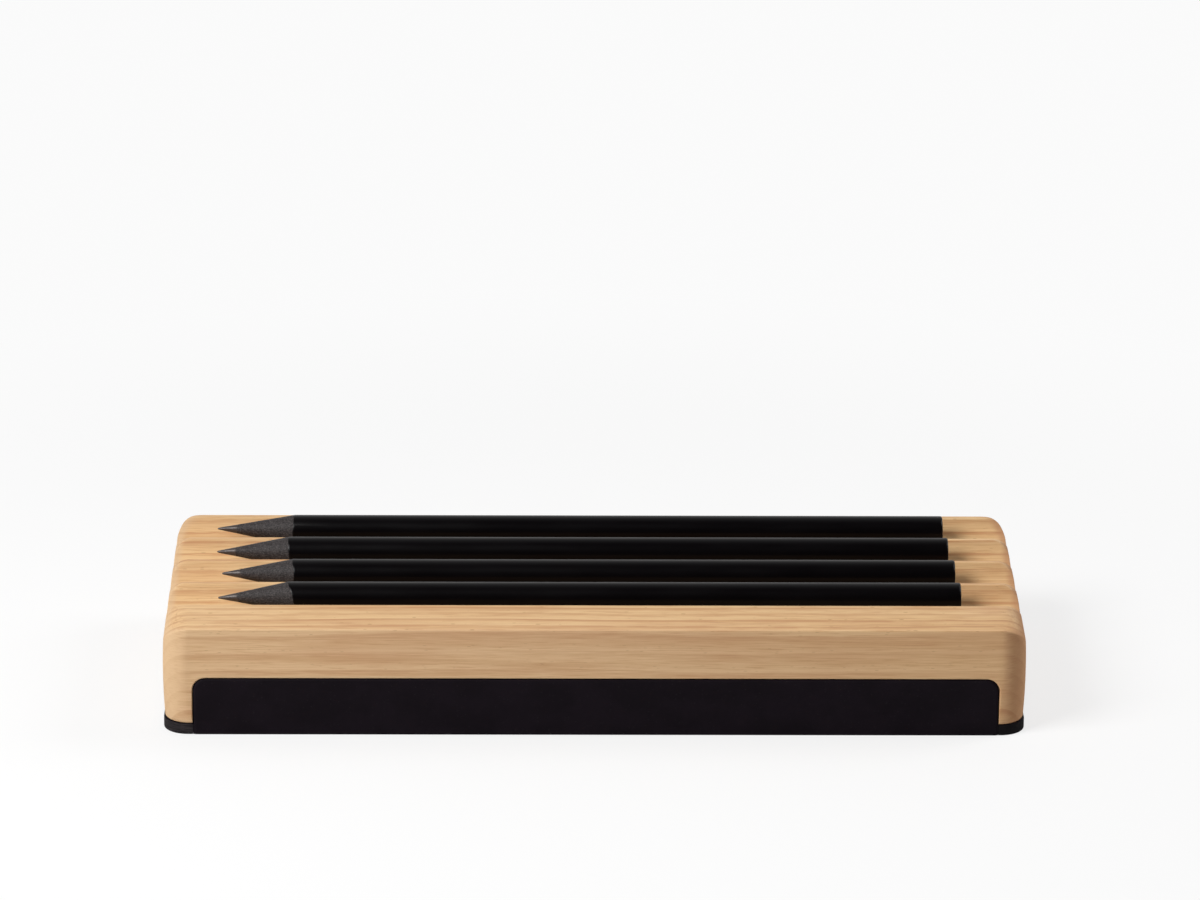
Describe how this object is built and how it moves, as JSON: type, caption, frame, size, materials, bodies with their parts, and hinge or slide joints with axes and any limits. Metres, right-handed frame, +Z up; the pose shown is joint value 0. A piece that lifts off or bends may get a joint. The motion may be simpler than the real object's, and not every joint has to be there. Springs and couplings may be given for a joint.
{
  "type": "pen tray",
  "caption": "Low wooden desk tray with round-bottomed grooves on a black leather base that folds up over the front, holding sharpened round pencils",
  "frame": {"origin": "middle of the underside, on the surface that the tray stands on", "axes": "+X along the grooves towards the pencils' blunt ends, +Y from the front with the leather flap to the back, +Z up"},
  "size_m": [0.203, 0.0802, 0.0293],
  "materials": {
    "tray_wood": "fine-grained pale hardwood, oiled, satin",
    "base_leather": "thick firm black leather, matte, with a bare cut edge",
    "dyed_wood": "pencil wood dyed black through, freshly sharpened, matte",
    "graphite": "graphite and clay, dark grey, soft metallic sheen",
    "black_lacquer": "thin black lacquer, silky matte"
  },
  "bodies": {
    "tray": {"tray_block": "tray_wood", "leather_base": "base_leather"},
    "pencil_1": {"pencil_1_upper_slat": "dyed_wood", "pencil_1_lower_slat": "dyed_wood", "pencil_1_lead": "graphite", "pencil_1_lacquer": "black_lacquer"},
    "pencil_2": {"pencil_2_upper_slat": "dyed_wood", "pencil_2_lower_slat": "dyed_wood", "pencil_2_lead": "graphite", "pencil_2_lacquer": "black_lacquer"},
    "pencil_3": {"pencil_3_upper_slat": "dyed_wood", "pencil_3_lower_slat": "dyed_wood", "pencil_3_lead": "graphite", "pencil_3_lacquer": "black_lacquer"},
    "pencil_4": {"pencil_4_upper_slat": "dyed_wood", "pencil_4_lower_slat": "dyed_wood", "pencil_4_lead": "graphite", "pencil_4_lacquer": "black_lacquer"}
  },
  "joints": [
    {"name": "pencil_1_lift_out", "type": "slide", "parent": "tray", "child": "pencil_1", "axis": [0, 0, 1], "range_m": [0, 0.04]},
    {"name": "pencil_2_lift_out", "type": "slide", "parent": "tray", "child": "pencil_2", "axis": [0, 0, 1], "range_m": [0, 0.04]},
    {"name": "pencil_3_lift_out", "type": "slide", "parent": "tray", "child": "pencil_3", "axis": [0, 0, 1], "range_m": [0, 0.04]},
    {"name": "pencil_4_lift_out", "type": "slide", "parent": "tray", "child": "pencil_4", "axis": [0, 0, 1], "range_m": [0, 0.04]}
  ]
}
